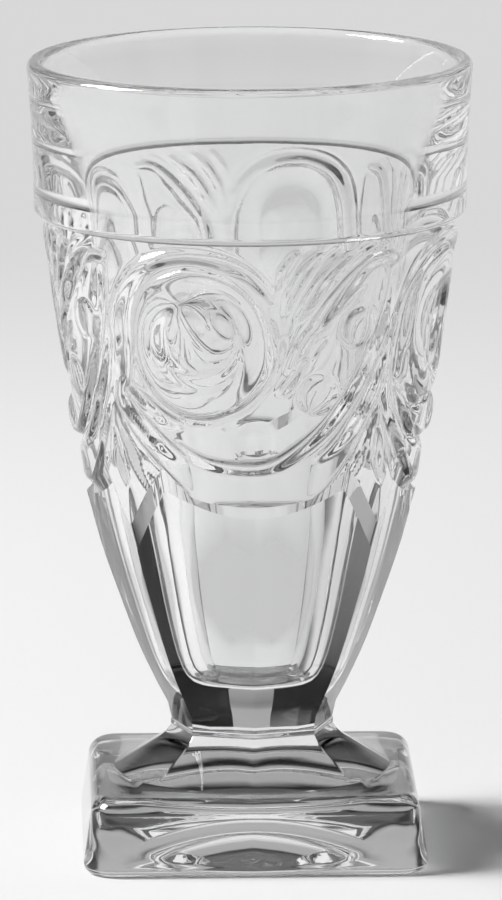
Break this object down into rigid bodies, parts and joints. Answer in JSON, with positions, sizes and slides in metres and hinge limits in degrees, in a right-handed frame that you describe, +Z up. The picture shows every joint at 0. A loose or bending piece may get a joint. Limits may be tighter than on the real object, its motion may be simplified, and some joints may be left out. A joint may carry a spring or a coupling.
{
  "type": "iced tea glass",
  "caption": "Clear pressed glass tumbler on a square foot, with a panelled lower bowl, a relief of bosses, swags and leaves round its middle and a plain flared rim.",
  "frame": {"origin": "on the glass's axis, in the plane that the foot stands on", "axes": "+Z up along the bowl's axis, +X to the right of the pictured side, -Y towards the viewer"},
  "size_m": [0.0904, 0.0904, 0.162],
  "materials": {
    "clear_glass": "colourless pressed glass, fire polished and smooth"
  },
  "bodies": {
    "root": {"foot": "clear_glass", "joining_wafer": "clear_glass", "bowl": "clear_glass"}
  },
  "joints": []
}
